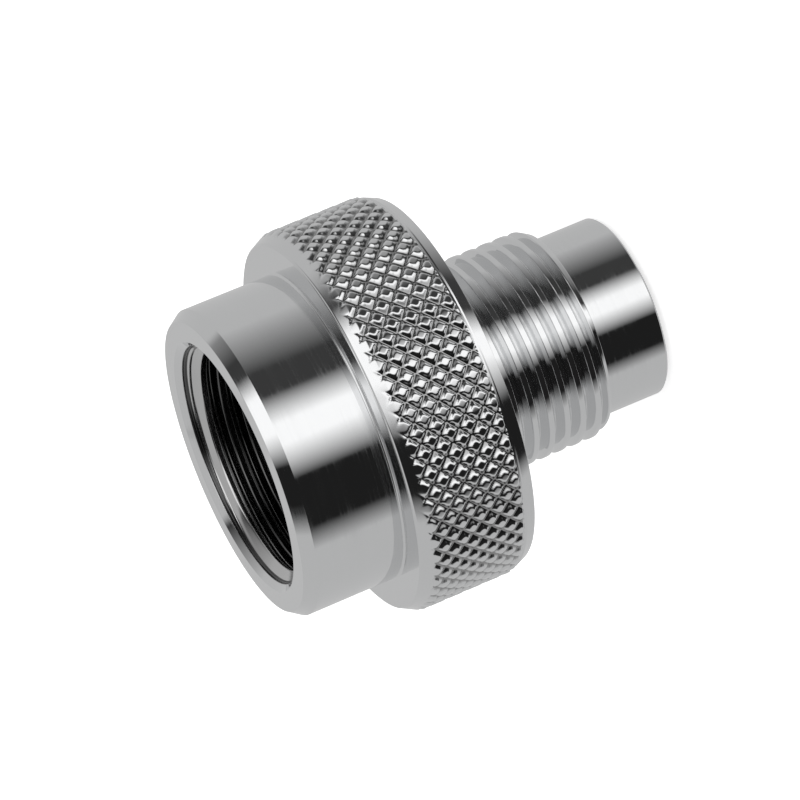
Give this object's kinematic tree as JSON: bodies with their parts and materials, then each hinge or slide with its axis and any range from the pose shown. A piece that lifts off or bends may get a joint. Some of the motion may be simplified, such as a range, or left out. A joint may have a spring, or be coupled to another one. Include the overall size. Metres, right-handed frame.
{
  "type": "scuba fill adapter",
  "caption": "Turned and plated gas fitting with a threaded socket, a diamond-knurled grip, a male thread and a plain nose that holds a face seal.",
  "frame": {"origin": "on the axis, at the height of the surface that the adapter stands on, which is the lowest line of the face seal", "axes": "+Z along the axis from the nose to the mouth of the threaded socket; X and Y are alike apart from where the threads start"},
  "size_m": [0.0418, 0.0418, 0.0459],
  "materials": {
    "plated_body": "bright plated, finely turned",
    "seal_rubber": "satin"
  },
  "bodies": {
    "root": {"body": "plated_body", "nose_seal": "seal_rubber"}
  },
  "joints": []
}
